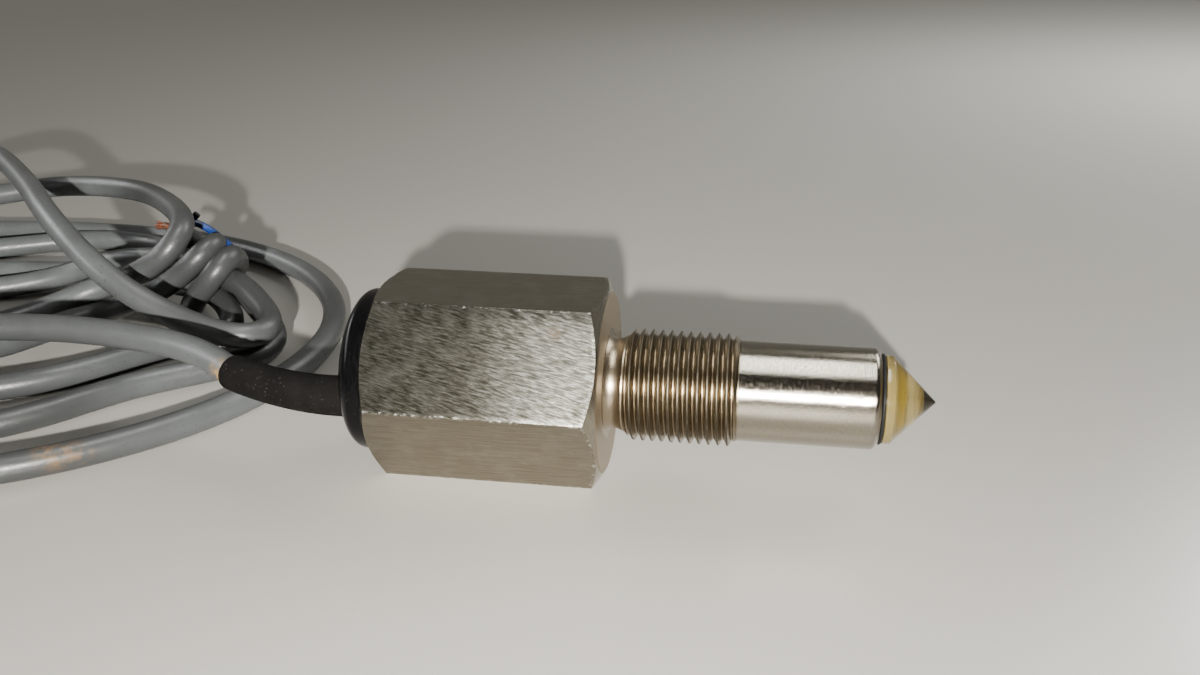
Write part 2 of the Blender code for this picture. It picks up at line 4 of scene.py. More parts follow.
import bmesh
import bpy
import numpy as np
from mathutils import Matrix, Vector

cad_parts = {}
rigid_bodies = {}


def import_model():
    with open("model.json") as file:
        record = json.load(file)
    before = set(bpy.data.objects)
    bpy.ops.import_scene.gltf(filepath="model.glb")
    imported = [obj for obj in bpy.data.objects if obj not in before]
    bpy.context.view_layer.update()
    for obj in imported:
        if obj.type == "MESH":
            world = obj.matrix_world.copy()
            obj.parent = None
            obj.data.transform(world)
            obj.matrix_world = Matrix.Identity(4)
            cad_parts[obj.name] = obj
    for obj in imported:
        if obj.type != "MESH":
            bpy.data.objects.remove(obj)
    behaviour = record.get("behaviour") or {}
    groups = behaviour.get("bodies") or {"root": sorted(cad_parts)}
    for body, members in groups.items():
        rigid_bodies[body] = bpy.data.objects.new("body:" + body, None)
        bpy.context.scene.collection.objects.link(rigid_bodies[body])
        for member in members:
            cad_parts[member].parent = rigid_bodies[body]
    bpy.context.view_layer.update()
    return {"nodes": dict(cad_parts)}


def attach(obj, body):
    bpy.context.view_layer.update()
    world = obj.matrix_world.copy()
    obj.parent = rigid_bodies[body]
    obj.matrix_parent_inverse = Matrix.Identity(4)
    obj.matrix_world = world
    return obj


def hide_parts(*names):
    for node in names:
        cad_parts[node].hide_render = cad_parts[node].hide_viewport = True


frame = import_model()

mm = 0.001
fullTurn = 2 * math.pi

# Lengths are in millimetres. The sensor's own axis lies along X at this height;
# its shoulder is the end of the hexagon on the thread's side.
axisHeight = 15.0
shoulderX = -4.025
acrossFlats = 30.0


# Small helpers

def nothingSelected():
    if bpy.context.object and bpy.context.object.mode != "OBJECT":
        bpy.ops.object.mode_set(mode="OBJECT")
    bpy.ops.object.select_all(action="DESELECT")


def pick(thing):
    nothingSelected()
    thing.select_set(True)
    bpy.context.view_layer.objects.active = thing


def applyModifier(thing, kind, **values):
    pick(thing)
    modifier = thing.modifiers.new(kind.title(), kind)
    for name, value in values.items():
        setattr(modifier, name, value)
    bpy.ops.object.modifier_apply(modifier=modifier.name)


def combine(thing, tool, how="DIFFERENCE"):
    applyModifier(thing, "BOOLEAN", object=tool, operation=how, solver="EXACT")
    bpy.data.objects.remove(tool, do_unlink=True)


def selectFaces(thing, test):  # in edit mode, by each face's middle and normal
    form = bmesh.from_edit_mesh(thing.data)
    for face in form.faces:
        face.select_set(test(face.calc_center_median() / mm, face.normal))
    bmesh.update_edit_mesh(thing.data)


def selectEdges(thing, test):  # in edit mode, by each edge's ends
    bpy.ops.mesh.select_mode(type="EDGE")
    bpy.ops.mesh.select_all(action="DESELECT")
    form = bmesh.from_edit_mesh(thing.data)
    for edge in form.edges:
        edge.select_set(test(edge.verts[0].co / mm, edge.verts[1].co / mm))
    bmesh.update_edit_mesh(thing.data)


def endEdit():  # with all normals outwards
    bpy.ops.mesh.select_all(action="SELECT")
    bpy.ops.mesh.normals_make_consistent(inside=False)
    bpy.ops.object.mode_set(mode="OBJECT")


def turnPiece(name, stations, around=144, side=0.0, height=axisHeight):
  # A round disc pulled along X through (X, radius) stations, as on a lathe
    nothingSelected()
    x, radius = stations[0]
    middle = (side * mm, height * mm)
    bpy.ops.mesh.primitive_circle_add(vertices=around, radius=radius * mm, fill_type="NGON",
                                      location=(x * mm, *middle), rotation=(0, math.pi / 2, 0))
    piece = bpy.context.object
    piece.name = name
    bpy.ops.object.transform_apply(location=True, rotation=True, scale=True)
    bpy.ops.object.mode_set(mode="EDIT")
    bpy.ops.mesh.select_mode(type="FACE")
    bpy.ops.mesh.select_all(action="SELECT")
    for nextX, nextRadius in stations[1:]:
        bpy.ops.mesh.extrude_region_move(TRANSFORM_OT_translate={"value": ((nextX - x) * mm, 0, 0)})
        ratio = nextRadius / radius
        bpy.ops.transform.resize(value=(1, ratio, ratio), center_override=(nextX * mm, *middle))
        x, radius = nextX, nextRadius
    endEdit()
    return piece


def arcStations(x, radius, size, start, end, count):  # a round corner of the outline, angles from +X
    return [(x + size * math.cos(math.radians(start + (end - start) * i / count)),
             radius + size * math.sin(math.radians(start + (end - start) * i / count)))
            for i in range(count + 1)]


def smoothShade(thing, degrees=32):
    pick(thing)
    bpy.ops.object.shade_smooth_by_angle(angle=math.radians(degrees))


# Material helpers

class Finish:  # one material and a short way to wire its nodes, with every size in mm
    def __init__(self, name, colour, rough, metal=0.0):
        self.material = bpy.data.materials.new(name)
        self.material.use_nodes = True
        self.tree = self.material.node_tree
        self.shader = self.tree.nodes["Principled BSDF"]
        self.wear(**{"Base Color": (*colour, 1), "Roughness": rough, "Metallic": metal})
        place = self.tree.nodes.new("ShaderNodeTexCoord").outputs["Object"]
        self.place = self.vector("SCALE", place, Scale=1 / mm)

    def set(self, node, socket, value):
        target = node.inputs[socket]
        if isinstance(value, bpy.types.NodeSocket):
            self.tree.links.new(value, target)
        else:
            target.default_value = value

    def wear(self, **sockets):
        for name, value in sockets.items():
            self.set(self.shader, name, value)

    def vector(self, kind, first, second=None, **more):
        node = self.tree.nodes.new("ShaderNodeVectorMath")
        node.operation = kind
        self.set(node, 0, first)
        if second is not None:
            self.set(node, 1, second)
        for name, value in more.items():
            self.set(node, name, value)
        return node.outputs["Value" if kind == "DISTANCE" else "Vector"]

    def sum(self, kind, first, second=0.0):
        node = self.tree.nodes.new("ShaderNodeMath")
        node.operation = kind
        self.set(node, 0, first)
        self.set(node, 1, second)
        return node.outputs[0]

    def unrolled(self):  # along the sensor's axis, round it as counted on its flats, and out from it
        parts = self.tree.nodes.new("ShaderNodeSeparateXYZ")
        self.set(parts, 0, self.place)
        self.along = parts.outputs[0]
        self.across = self.sum("MULTIPLY", parts.outputs[1], -1)
        up = self.sum("SUBTRACT", parts.outputs[2], axisHeight)
        self.angle = self.sum("ARCTAN2", up, self.across)
        self.out = self.sum("SQRT", self.sum("ADD", self.sum("MULTIPLY", up, up),
                                             self.sum("MULTIPLY", self.across, self.across)))
        joined = self.tree.nodes.new("ShaderNodeCombineXYZ")
        self.set(joined, 0, self.along)
        self.set(joined, 1, self.sum("MULTIPLY", self.angle, acrossFlats / 2))
        self.set(joined, 2, self.out)
        return joined.outputs[0]

    def stretched(self, sizes, turn=0.0, vector=None):
        node = self.tree.nodes.new("ShaderNodeMapping")
        node.vector_type = "TEXTURE"
        self.set(node, "Vector", vector or self.place)
        self.set(node, "Rotation", (0, 0, math.radians(turn)))
        self.set(node, "Scale", sizes)
        return node.outputs["Vector"]

    def noise(self, size=1.0, detail=3.0, roughness=0.55, vector=None):
        node = self.tree.nodes.new("ShaderNodeTexNoise")
        self.set(node, "Vector", vector or self.place)
        self.set(node, "Scale", 1 / size)
        self.set(node, "Detail", detail)
        self.set(node, "Roughness", roughness)
        return node.outputs["Fac"]

    def ramp(self, value, *stops):  # stops are (place, colour or grey)
        node = self.tree.nodes.new("ShaderNodeValToRGB")
        self.set(node, "Fac", value)
        elements = node.color_ramp.elements
        while len(elements) < len(stops):
            elements.new(0.5)
        for element, (at, colour) in zip(elements, stops):
            element.position = at
            element.color = (colour, colour, colour, 1) if isinstance(colour, (int, float)) else (*colour, 1)
        return node.outputs["Color"]

    def mix(self, share, first, second, kind="MIX"):
        node = self.tree.nodes.new("ShaderNodeMix")
        node.data_type = "RGBA"
        node.blend_type = kind
        for socket, value in ((0, share), (6, first), (7, second)):
            if isinstance(value, tuple):
                value = (*value, 1)
            self.set(node, socket, value)
        return node.outputs[2]

    def inside(self, value, low, high, soft=0.0):  # 1 between the two values, 0 outside, with soft borders
        shares = []
        least = 1e-4  # a hard border still needs some width
        for start, end in ((low - soft, low + soft + least), (high + soft + least, high - soft)):
            node = self.tree.nodes.new("ShaderNodeMapRange")
            self.set(node, "Value", value)
            self.set(node, "From Min", start)
            self.set(node, "From Max", end)
            shares.append(node.outputs[0])
        return self.sum("MULTIPLY", *shares)

    def spot(self, at, size, soft=0.5):  # 1 inside a ball round a point, 0 outside
        distance = self.vector("DISTANCE", self.place, at)
        return self.inside(distance, -9, size * (1 + soft) / 2, size * soft / 2)

    def bump(self, height, distance, strength=1.0):
        node = self.tree.nodes.new("ShaderNodeBump")
        self.set(node, "Height", height)
        self.set(node, "Strength", strength)
        self.set(node, "Distance", distance * mm)
        self.wear(Normal=node.outputs["Normal"])


def dress(thing, finish):
    thing.data.materials.clear()
    thing.data.materials.append(finish.material)


def keepPiece(thing, *nodes):  # rides with the body and stands for these solids
    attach(thing, "root")
    if nodes:
        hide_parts(*nodes)


# Camera

cameraSettings = {"place": (20.549, -169.106, 89.879), "target": (-5.6045, 0.0, 22.688), "lens": 34.546}


def setCamera():
    place = Vector(cameraSettings["place"]) * mm
    aim = Vector(cameraSettings["target"]) * mm - place
    bpy.ops.object.camera_add(location=place)
    camera = bpy.context.object
    camera.rotation_euler = aim.to_track_quat("-Z", "Y").to_euler()
    camera.data.lens = cameraSettings["lens"]
    camera.data.sensor_width = 36.0
    camera.data.clip_start = 0.005
    bpy.context.scene.camera = camera


nothingSelected()
setCamera()
print("camera set")


# Loose cable: out of the sleeve, round behind the left edge, then wound into an oval hank that is
# tied by two wraps of its own far end

cable = {
    "diameter": 5.0,
    "length": 2.13,  # metres, from the sleeve's root to the cut end
    "exit": (-47.325, -4.2, 11.4),
    "ovalMiddle": (-149.0, 37.0),
    "ovalHalf": (81.0, 70.0),
    "ovalTurn": -11.5,  # degrees
    "spacing": 2.0,  # between the points of the finished line
    "stiffRounds": 50,
    "fixedPoints": 14,  # in the sleeve
    "tightPoints": 48,  # in the two wraps, which hold the hank together
    "tightBorder": 20,  # points over which the line passes into them
    "tightShare": 0.25,  # how far they give way
    "room": 1.01,  # between resting strands, in diameters
    "ownStretch": 3.2,  # diameters along the line that aren't pushed apart
    "lift": 0.3,  # strands would rather climb than slide
    "pushShare": 0.22,
    "easeShare": 0.25,
}

sleeveOffsets = [(0, 0, 0), (-5, 0.1, 0), (-11, 1.2, 0.1), (-17, 3.1, 0.3), (-23, 5.8, 0.6)]
leadPoints = [(-78, 7.4, 12.9), (-89, 9.7, 13.6), (-104, 10, 14.6), (-118, 7.6, 15.2), (-136, 3, 14.5),
              (-158, 1, 13.5), (-180, 8, 13.5), (-198, 26, 14.5), (-206, 50, 17), (-203, 74, 21),
              (-192, 89, 25), (-180, 92.5, 27.5)]
crossPoints = [(-149, 66, 27), (-131.5, 47, 25), (-113.5, 32, 20), (-106, 29, 16), (-101, 28.5, 13),
               (-95, 29, 10.5), (-88.5, 27, 9), (-82, 25.5, 8), (-78, 25.5, 7.5), (-76, 29, 7.5),
               (-77, 35, 7.5), (-82.5, 42.5, 8), (-88, 47, 9), (-92.5, 48.5, 13), (-102, 54.5, 13)]
firstTurn = [(76, 0.50, 8), (90, 0.46, 4), (101, 0.40, 2.6), (116, 0.34, 2.5), (150, 0.33, 2.5),
             (180, 0.36, 2.5), (225, 0.44, 2.5), (270, 0.49, 2.5), (323, 0.53, 2.5), (345, 0.55, 2.5),
             (360, 0.58, 2.5), (372, 0.63, 2.5)]
firstTie = [(-88, 39, 3.2), (-88.5, 44, 4.5), (-94.5, 48, 8), (-103, 54.5, 8)]
secondTurn = [(78, 0.58, 4.5), (95, 0.53, 2.6), (122, 0.53, 2.5), (150, 0.55, 2.5), (180, 0.58, 2.5),
              (225, 0.66, 2.5), (270, 0.74, 2.5), (319, 0.76, 2.5), (328, 0.74, 2.5), (342, 0.71, 2.5),
              (352, 0.745, 2.5), (362, 0.84, 2.5), (371, 0.885, 2.5), (380, 0.86, 2.5)]
secondTie = [(-90, 48.5, 8.5), (-99, 56.5, 9)]
thirdTurn = [(76, 0.76, 5), (86, 0.86, 2.8), (96, 0.90, 2.6), (108, 0.90, 2.5), (117, 0.85, 2.5),
             (125, 0.79, 2.5), (150, 0.86, 2.5), (180, 0.95, 2.5), (225, 1, 2.5), (270, 1, 2.5),
             (320, 1, 2.5), (360, 1, 2.5), (420, 1, 2.5), (450, 1, 2.5), (470, 1, 2.5), (488, 1.06, 2.6),
             (507, 1, 5), (525, 0.86, 7.6), (550, 0.66, 7.6), (585, 0.46, 7.6), (620, 0.33, 7.6),
             (655, 0.27, 7.6)]
archPoints = [(-130, 26, 8), (-127.5, 35.5, 8), (-121.5, 43, 9.5), (-114, 44, 12), (-106.5, 43, 16),
              (-100.5, 42, 20.5), (-99.5, 44.5, 23), (-105, 54.5, 23.5), (-115.5, 67, 23),
              (-130, 81.5, 21.5), (-148, 90, 20), (-164, 92, 18.5), (-171, 86, 17.5)]
fifthTurn = [(135, 0.77, 16.5), (152, 0.70, 13.5), (180, 0.63, 10), (225, 0.58, 7.8), (270, 0.52, 7.6),
             (310, 0.44, 7.6)]
wrapPoints = [(-124.5, 16, 7.5), (-122.5, 26, 7), (-120, 38.5, 6), (-117.5, 47, 5.5), (-113.2, 51, 6),
              (-109.6, 52.6, 7.6), (-105.2, 52, 10.5), (-101.4, 50.6, 13.8), (-98.8, 50.4, 16.4),
              (-98.2, 53, 18.2), (-99.2, 57.6, 17.6), (-101.8, 61.8, 14.6), (-105, 64.8, 10.5),
              (-107.4, 64.8, 6.2), (-108.2, 60.8, 2.6), (-106.4, 55.2, 2.6), (-102.8, 51, 5.2),
              (-99.2, 49.6, 8.2), (-95.8, 47.6, 11.2), (-93.6, 46.6, 13.6), (-92.8, 48, 15.9),
              (-93.6, 51.8, 16.2), (-95, 56, 13.8), (-97, 60.2, 10.2), (-99.5, 64, 8.4),
              (-103.5, 67.2, 8.6), (-107.6, 67.6, 11.6), (-109.6, 65, 14.8), (-109.8, 62, 17.2)]


def onOval(angle, reach, height):
    across = cable["ovalHalf"][0] * reach * math.cos(math.radians(angle))
    up = cable["ovalHalf"][1] * reach * math.sin(math.radians(angle))
    turn = math.radians(cable["ovalTurn"])
    return (cable["ovalMiddle"][0] + across * math.cos(turn) - up * math.sin(turn),
            cable["ovalMiddle"][1] + across * math.sin(turn) + up * math.cos(turn), height)


def oneTurn(stations, step):  # (angle, share of the oval, height), read as a smooth curve every step degrees
    table = np.array(stations, float)
    slope = np.gradient(table[:, 1:], table[:, 0], axis=0)
    count = int(math.ceil((table[-1, 0] - table[0, 0]) / step))
    points = []
    for angle in np.linspace(table[0, 0], table[-1, 0], count + 1):
        i = min(len(table) - 2, max(0, int(np.searchsorted(table[:, 0], angle, side="right")) - 1))
        width = table[i + 1, 0] - table[i, 0]
        t = (angle - table[i, 0]) / width
        value = ((2 * t ** 3 - 3 * t ** 2 + 1) * table[i, 1:] + (t ** 3 - 2 * t ** 2 + t) * width * slope[i]
                 + (3 * t ** 2 - 2 * t ** 3) * table[i + 1, 1:] + (t ** 3 - t ** 2) * width * slope[i + 1])
        points.append(onOval(angle, value[0], value[1]))
    return points


def smoothLine(points):  # a curve through all the points, with even stretches
    line = [np.array(point, float) for point in points]
    line = [2 * line[0] - line[1]] + line + [2 * line[-1] - line[-2]]
    found = []
    for i in range(1, len(line) - 2):
        a, b, c, d = line[i - 1:i + 3]
        t = [0.0]
        for p, q in ((a, b), (b, c), (c, d)):
            t.append(t[-1] + max(1e-6, np.linalg.norm(q - p)) ** 0.5)
        for s in np.linspace(t[1], t[2], max(3, int(np.linalg.norm(c - b)) + 1))[:-1]:
            ab = (a * (t[1] - s) + b * (s - t[0])) / (t[1] - t[0])
            bc = (b * (t[2] - s) + c * (s - t[1])) / (t[2] - t[1])
            cd = (c * (t[3] - s) + d * (s - t[2])) / (t[3] - t[2])
            abc = (ab * (t[2] - s) + bc * (s - t[0])) / (t[2] - t[0])
            bcd = (bc * (t[3] - s) + cd * (s - t[1])) / (t[3] - t[1])
            found.append((abc * (t[2] - s) + bcd * (s - t[1])) / (t[2] - t[1]))
    found.append(line[-2])
    return np.array(found)


def reachOf(line):  # how far along the line each of its points lies
    return np.concatenate([[0], np.cumsum(np.linalg.norm(np.diff(line, axis=0), axis=1))])


def pointsAt(line, places):
    return np.stack([np.interp(places, reachOf(line), line[:, axis]) for axis in range(3)], axis=1)


def evenLine(line, step):
    length = reachOf(line)[-1]
    return pointsAt(line, np.linspace(0, length, int(round(length / step)) + 1))


def relax(line, rounds, keep):  # lets the bends ease, as a springy jacket does
    for _ in range(rounds):
        eased = line.copy()
        eased[1:-1] = 0.5 * line[1:-1] + 0.25 * (line[:-2] + line[2:])
        eased[:keep] = line[:keep]
        line = eased
    return line


def pushApart(line, settings):  # strands rest on each other and on the floor instead of in each other
    width = settings["diameter"] * settings["room"]
    keep = settings["fixedPoints"]
    apart = int(settings["ownStretch"] * settings["diameter"] / settings["spacing"])
    first, second = np.triu_indices(len(line), apart)
    tightFrom = len(line) - settings["tightPoints"]
    yielding = np.interp(np.arange(len(line)), [tightFrom - settings["tightBorder"], tightFrom],
                         [1, settings["tightShare"]])[:, None]
    for _ in range(settings["stiffRounds"]):
        near = np.abs(line[first] - line[second]).max(axis=1) < width
        one, other = first[near], second[near]
        gap = line[other] - line[one]
        distance = np.linalg.norm(gap, axis=1, keepdims=True) + 1e-6
        close = distance[:, 0] < width
        one, other, gap, distance = one[close], other[close], gap[close], distance[close]
        gap[:, 2] += np.sign(gap[:, 2] + 1e-9) * settings["lift"]
        push = gap / np.linalg.norm(gap, axis=1, keepdims=True) * (width - distance) * settings["pushShare"]
        shift = np.zeros_like(line)
        np.add.at(shift, one, -push)
        np.add.at(shift, other, push)
        for _ in range(3):
            shift[1:-1] = 0.5 * shift[1:-1] + 0.25 * (shift[:-2] + shift[2:])
        shift[:keep] = 0
        line = line + shift * yielding
        line = line + settings["easeShare"] * yielding * (relax(line, 1, keep) - line)
        line[:, 2] = np.maximum(line[:, 2], settings["diameter"] / 2)
    return relax(line, 2, keep)


def cableLine(settings):
    start = Vector(settings["exit"])
    points = [tuple(start + Vector(offset)) for offset in sleeveOffsets] + leadPoints + crossPoints
    points += oneTurn(firstTurn, 18) + firstTie
    points += oneTurn(secondTurn, 10) + secondTie
    points += oneTurn(thirdTurn, 15) + archPoints
    points += oneTurn(fifthTurn, 15) + wrapPoints
    line = evenLine(smoothLine(points), settings["spacing"])
    line = relax(line, 5, settings["fixedPoints"])
    return evenLine(pushApart(line, settings), settings["spacing"])


def drawTube(name, line, radius, sides=8, capped=True):  # one open spline with a round section
    shape = bpy.data.curves.new(name, "CURVE")
    shape.dimensions = "3D"
    shape.bevel_depth = radius * mm
    shape.bevel_resolution = sides
    shape.use_fill_caps = capped
    spline = shape.splines.new("POLY")
    spline.points.add(len(line) - 1)
    for point, place in zip(spline.points, line):
        point.co = (*(float(value) * mm for value in place), 1)
    spline.use_smooth = True
    tube = bpy.data.objects.new(name, shape)
    bpy.context.scene.collection.objects.link(tube)
    return tube


stainsAndShade = {  # spots as (place, size), their border, how far they cover, else in blotches, and their colour
    # Large darker patches over the hank: partly dirt, partly painted shade where the strands get less light
    "dirtAndShade": {"spots": [((-112, -22, 3), 50.0), ((-86, 48, 12), 34.0), ((-118, 84, 24), 24.0)],
               "border": 0.6, "cover": 0.9, "colour": (0.035, 0.037, 0.037)},
    "brown": {"spots": [((-93, -17.5, 4), 3.0), ((-88.5, -17.3, 4.5), 3.2), ((-84, -15.5, 5), 2.6)],
              "border": 0.7, "colour": (0.14, 0.085, 0.04)},
    "glue": {"spots": [((-71.5, 1.0, 12.0), 3.1)], "border": 0.4, "colour": (0.33, 0.21, 0.09)},
    "black": {"spots": [((-74, -3.9, 5), 0.4), ((-96.5, -4.6, 5), 0.55), ((-112, 9, 17), 0.35),
                        ((-134, 4, 17), 0.3)],
              "border": 0.4, "cover": 1.0, "colour": (0.012, 0.011, 0.01)},
}


def cablePvc():
    grey = (0.105, 0.115, 0.118)
    pvc = Finish("cablePvc", grey, 0.36)
    colour = pvc.ramp(pvc.noise(9, 4, 0.6), (0.3, (0.085, 0.092, 0.092)), (0.52, grey),
                      (0.75, (0.125, 0.136, 0.14)))
    grime = pvc.ramp(pvc.noise(2.2, 5, 0.7), (0.56, 0.0), (0.74, 0.55))
    colour = pvc.mix(grime, colour, (0.085, 0.078, 0.062))
    specks = pvc.ramp(pvc.noise(0.55, 1, 0.4), (0.70, 0.0), (0.76, 0.7))
    colour = pvc.mix(specks, colour, (0.035, 0.03, 0.026))
    blotch = pvc.ramp(pvc.noise(1.6, 4, 0.65), (0.42, 0.0), (0.58, 0.85))
    for stain in stainsAndShade.values():
        for at, size in stain["spots"]:
            cover = pvc.sum("MULTIPLY", pvc.spot(at, size, stain["border"]), stain.get("cover", blotch))
            colour = pvc.mix(cover, colour, stain["colour"])
    pvc.wear(**{"Base Color": colour,
                "Roughness": pvc.ramp(pvc.noise(0.7, 3, 0.6), (0.3, 0.30), (0.7, 0.46))})
    pvc.bump(pvc.noise(0.5, 3, 0.6), 0.03)
    return pvc


jacketLine = cableLine(cable)
print("cable length %.3f m" % (reachOf(jacketLine)[-1] * mm))
jacket = drawTube("cableJacket", jacketLine, cable["diameter"] / 2, sides=10)
dress(jacket, cablePvc())
keepPiece(jacket, "cable_lead", "cable_coil")
print("cable laid")


# The three cores that come out of the cable's cut end, the brown one stripped to its copper strands

coreEnds = {
    "diameter": 1.6,
    "strandDiameter": 0.3,
    "strandCount": 12,
    "blue": [(0.5, 0.3, -1.5), (0.7, -0.2, 0.6), (1.8, -0.3, 2.2), (3.4, 0.5, 2.6), (5.2, 0.8, 1.7),
             (7.2, 0.6, 0.6), (9.4, -0.6, -0.3), (11.6, -2.2, -0.9), (13.6, -3.6, -2.2), (14.8, -4.2, -3.8)],
    "brown": [(-0.8, 0.2, -1.5), (-1.2, 0, 0.4), (-2.6, 0.2, 1.4), (-4.4, 0.9, 1.6)],
    "black": [(0.2, 0.9, -1.5), (0.5, 1.6, 0.8), (1.3, 2.0, 2.4), (2.4, 2.0, 3.5), (3.1, 2.2, 4.3)],
}
coreColours = {"brown": (0.12, 0.045, 0.02), "blue": (0.006, 0.035, 0.19), "black": (0.012, 0.012, 0.013)}


def coreFinish(name, colour):
    sheath = Finish(name, colour, 0.38)
    shade = sheath.ramp(sheath.noise(1.2, 3), (0.35, 0.0), (0.7, 0.6))
    sheath.wear(**{"Base Color": sheath.mix(shade, colour, tuple(value * 0.6 for value in colour)),
                   "Roughness": sheath.ramp(sheath.noise(0.4), (0.3, 0.3), (0.7, 0.5))})
    sheath.bump(sheath.noise(0.3), 0.02)
    return sheath


def metalFinish(name, colour, rough, dull):  # bare metal with dull patches
    metal = Finish(name, colour, rough, metal=1.0)
    patches = metal.ramp(metal.noise(0.8, 4, 0.65), (0.4, 0.0), (0.65, 0.8))
    metal.wear(**{"Base Color": metal.mix(patches, colour, dull),
                  "Roughness": metal.ramp(metal.noise(0.3), (0.3, rough), (0.7, rough + 0.2))})
    metal.bump(metal.noise(0.25), 0.015)
    return metal


def solidTube(name, line, radius, sides=5):  # a tube whose caps are joined to its wall
    tube = drawTube(name, line, radius, sides=sides)
    pick(tube)
    bpy.ops.object.convert(target="MESH")
    tube = bpy.context.object
    bpy.ops.object.mode_set(mode="EDIT")
    bpy.ops.mesh.select_all(action="SELECT")
    bpy.ops.mesh.remove_doubles(threshold=0.002 * mm)
    endEdit()
    smoothShade(tube, 50)
    return tube


def layCores(size, end):
    cores = []
    for core, colour in coreColours.items():
        line = evenLine(smoothLine([end + np.array(point) for point in size[core]]), 0.5)
        piece = solidTube(core + "CoreEnd", line, size["diameter"] / 2)
        dress(piece, coreFinish(core + "CoreSheath", colour))
        keepPiece(piece)
        cores.append(piece)
    tip = end + np.array(size["brown"][-1])
    strands = []
    for i in range(size["strandCount"]):
        turn = fullTurn * i / size["strandCount"]
        spread = np.array([-0.2, math.cos(turn), math.sin(turn)]) * (0.25 + 0.2 * (i % 2))
        start = tip + spread * (0.3, 1, 1)
        bend = start + 0.6 * spread - (0.8, 0, 0)
        frayed = start + (1.0 + 0.5 * math.sin(5 * turn)) * spread - (1.8, 0, 0.2)
        strands.append(solidTube("copperStrands", [start + (0.8, 0, 0), start, bend, frayed],
                                 size["strandDiameter"] / 2, sides=2))
    pick(strands[0])
    for strand in strands[1:]:
        strand.select_set(True)
    bpy.ops.object.join()
    copper = metalFinish("strandCopper", (0.42, 0.17, 0.10), 0.4, (0.14, 0.05, 0.03))
    dress(strands[0], copper)
    keepPiece(strands[0])
    return cores + [strands[0]]


layCores(coreEnds, jacketLine[-1])
print("cores laid")


# Steel body: hexagon with turned ends, relief neck, thread and plain barrel, bored through

bodySteel = {
    "hexLength": 37.3,
    "hexFaceInset": 0.6,
    "chamfer": 30.0,  # degrees
    "hexEdge": 0.18,  # the bar's slightly broken long edges
    "neckRadius": 7.3,
    "neckLength": 2.7,
    "neckRamp": 1.5,
    "neckBend": 1.6,  # its hollow's radius, in halves of its length
    "neckArc": (231, 309),
    "threadRadius": 8.98,
    "pitch": 1.5,
    "threadEnd": 20.9,
    "barrelRadius": 8.0,
    "barrelLength": 42.5,
    "lip": 0.7,
    "frontBore": 6.0,
    "rearBore": 12.5,
    "floorAt": -5.0,  # where the wide bore ends
}


def fromShoulder(*stations):
    return [(shoulderX + x, radius) for x, radius in stations]


def makeHexagon(size):
    nothingSelected()
    corner = acrossFlats / 2 / math.cos(math.radians(30))
    length = size["hexLength"]
    bpy.ops.mesh.primitive_cylinder_add(vertices=6, radius=corner * mm, depth=(length + 2) * mm,
                                        location=((shoulderX - length / 2) * mm, 0, axisHeight * mm),
                                        rotation=(0, math.pi / 2, 0))
    hexagon = bpy.context.object
    hexagon.name = "steelBody"
    bpy.ops.object.transform_apply(location=True, rotation=True, scale=True)
    bpy.ops.object.mode_set(mode="EDIT")
    selectEdges(hexagon, lambda a, b: abs(a.x - b.x) > length)
    bpy.ops.mesh.bevel(offset=size["hexEdge"] * mm, segments=3)
    bpy.ops.object.mode_set(mode="OBJECT")
    outer = corner + 1
    face = acrossFlats / 2 - size["hexFaceInset"]
    drop = (outer - face) * math.tan(math.radians(size["chamfer"]))
    ends = turnPiece("hexagonEnds", fromShoulder((-length, face), (-length + drop, outer), (-drop, outer),
                                                 (0, face)), around=180)
    combine(hexagon, ends, "INTERSECT")
    return hexagon


def makeNeckAndBarrel(size):
    neck = size["neckRadius"]
    barrel = size["barrelRadius"]
    end = size["barrelLength"]
    lip = size["lip"]
    threadEnd = size["threadEnd"]
    middle = size["neckLength"] / 2
    bend = size["neckBend"] * middle
    underThread = neck + 0.4
    stations = [(-2.5, neck + 0.5)]
    stations += arcStations(middle, neck + bend, bend, *size["neckArc"], 11)
    stations += [(size["neckLength"] + 0.6, underThread), (threadEnd - 0.8, underThread),
                 (threadEnd - 0.4, barrel), (threadEnd + 4, barrel), (threadEnd + 12, barrel),
                 (end - 1.6 * lip, barrel)]
    stations += arcStations(end - 1.6 * lip, barrel - 1.3 * lip, 1.3 * lip, 90, 27, 7)[1:]
    stations += [(end - 0.1, barrel - lip - 0.02), (end, barrel - lip - 0.12)]
    return turnPiece("neckAndBarrel", fromShoulder(*stations), around=160)


